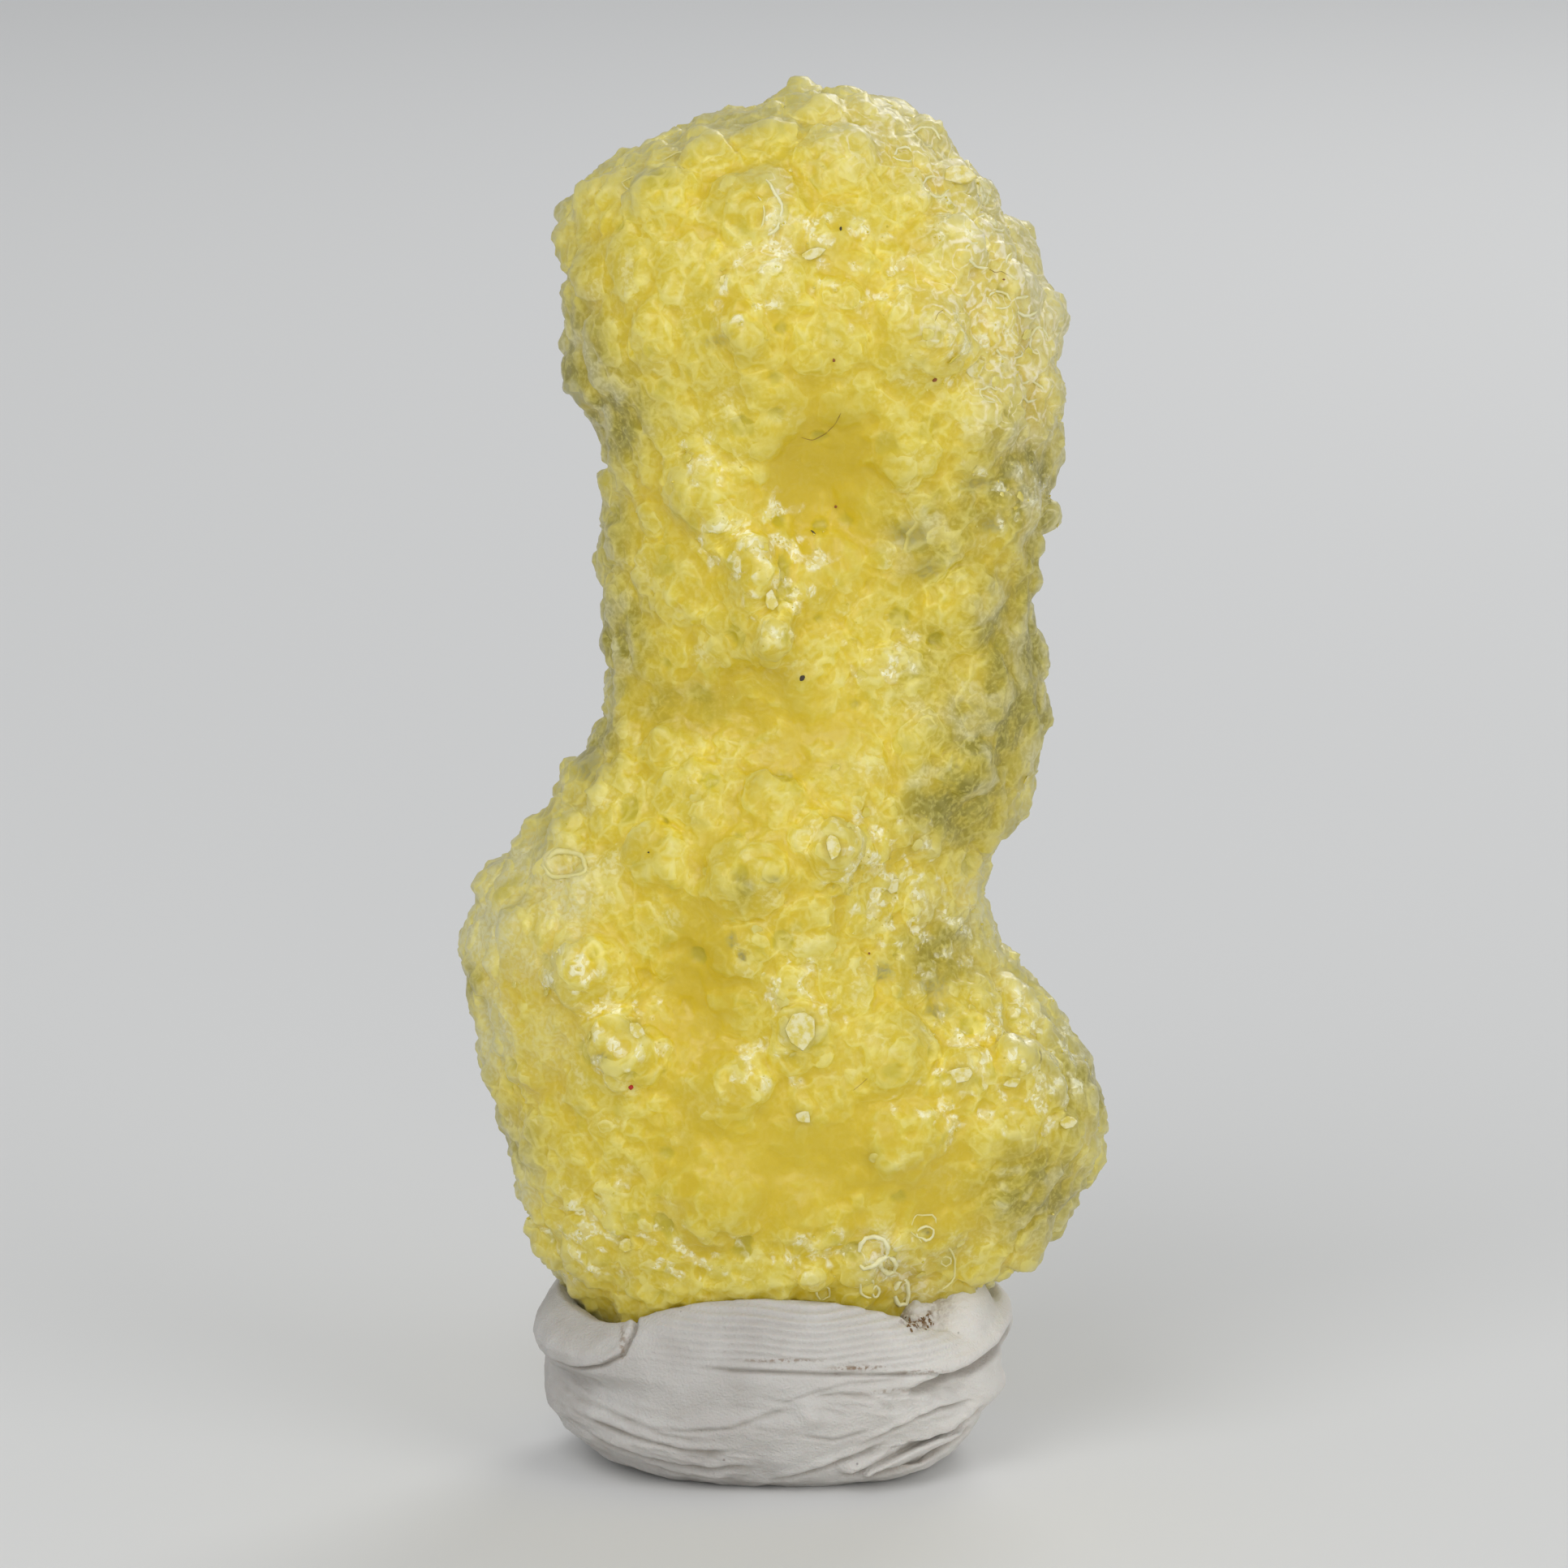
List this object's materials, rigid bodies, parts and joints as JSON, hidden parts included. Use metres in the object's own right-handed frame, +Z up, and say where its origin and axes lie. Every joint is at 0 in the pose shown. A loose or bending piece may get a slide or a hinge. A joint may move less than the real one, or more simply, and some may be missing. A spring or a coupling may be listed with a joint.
{
  "type": "brucite specimen",
  "caption": "Upright lemon-yellow botryoidal brucite mineral specimen, cobbled with small dished nodules, held upright in a wad of white mounting putty with a flat foot.",
  "frame": {"origin": "middle of the putty's flat foot, on the surface that the specimen stands on", "axes": "+Z up along the specimen's length, +X to the right across its broad face, +Y from the front to the back"},
  "size_m": [0.0404, 0.0262, 0.0862],
  "materials": {
    "brucite": "waxy to pearly, translucent at thin edges",
    "putty": "matte, pressed by fingers"
  },
  "bodies": {
    "root": {"brucite_mass": "brucite", "putty_base": "putty"}
  },
  "joints": []
}
